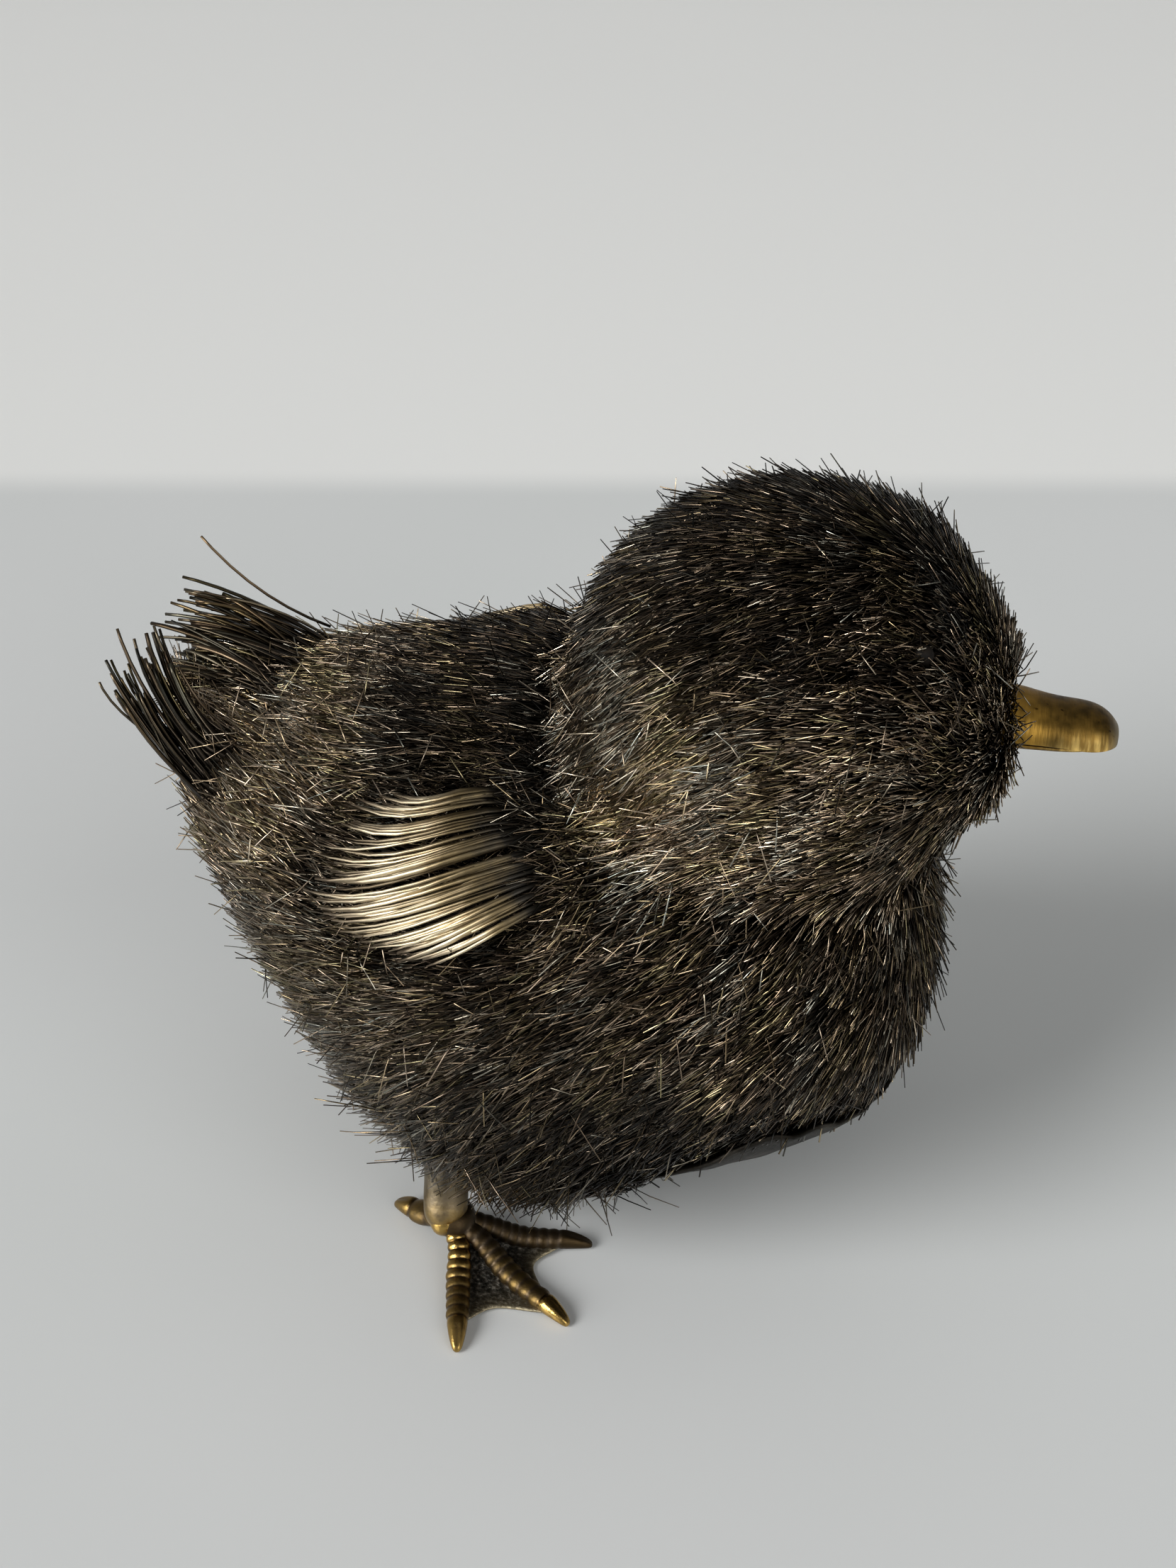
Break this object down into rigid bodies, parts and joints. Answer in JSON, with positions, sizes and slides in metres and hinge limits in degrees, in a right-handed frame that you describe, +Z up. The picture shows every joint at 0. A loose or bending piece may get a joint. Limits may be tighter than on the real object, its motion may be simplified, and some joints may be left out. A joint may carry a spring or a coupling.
{
  "type": "duckling figurine",
  "caption": "Standing duckling figurine: round fringed silver body and head, wing and tail combs of wire, gilt bill and webbed feet.",
  "frame": {"origin": "on the floor under the middle of the figure's box", "axes": "+X towards the bill, +Y towards the duckling's left, +Z up"},
  "size_m": [0.0944, 0.0612, 0.0791],
  "materials": {
    "oxidised_silver": "oxidised silver wire, dark at the roots and bright at the tips",
    "pale_silver": "satin silver sheet",
    "bright_wire": "flat wire with a champagne sheen",
    "gilt": "gilt silver casting, rubbed bright on the high places",
    "eye_glass": "polished black bead"
  },
  "bodies": {
    "root": {"body_shell_left": "oxidised_silver", "body_shell_right": "oxidised_silver", "head_shell": "oxidised_silver", "belly_plate": "pale_silver", "bill_upper": "gilt", "bill_lower": "gilt", "eye_left": "eye_glass", "eye_right": "eye_glass", "leg_left": "gilt", "leg_right": "gilt", "body_fringe_01": "oxidised_silver", "body_fringe_02": "oxidised_silver", "body_fringe_03_right": "oxidised_silver", "body_fringe_03_left": "oxidised_silver", "body_fringe_04_right": "oxidised_silver", "body_fringe_04_left": "oxidised_silver", "body_fringe_05_right": "oxidised_silver", "body_fringe_05_left": "oxidised_silver", "body_fringe_06_right": "oxidised_silver", "body_fringe_06_left": "oxidised_silver", "body_fringe_07": "oxidised_silver", "body_fringe_08": "oxidised_silver", "body_fringe_09": "oxidised_silver", "body_fringe_10": "oxidised_silver", "body_fringe_11": "oxidised_silver", "body_fringe_12": "oxidised_silver", "head_fringe_01": "oxidised_silver", "head_fringe_02": "oxidised_silver", "head_fringe_03": "oxidised_silver", "head_fringe_04": "oxidised_silver", "head_fringe_05": "oxidised_silver", "head_fringe_06": "oxidised_silver", "head_fringe_07": "oxidised_silver", "head_fringe_08": "oxidised_silver", "wing_left": "bright_wire", "wing_right": "bright_wire", "tail_left": "oxidised_silver", "tail_right": "oxidised_silver"}
  },
  "joints": []
}
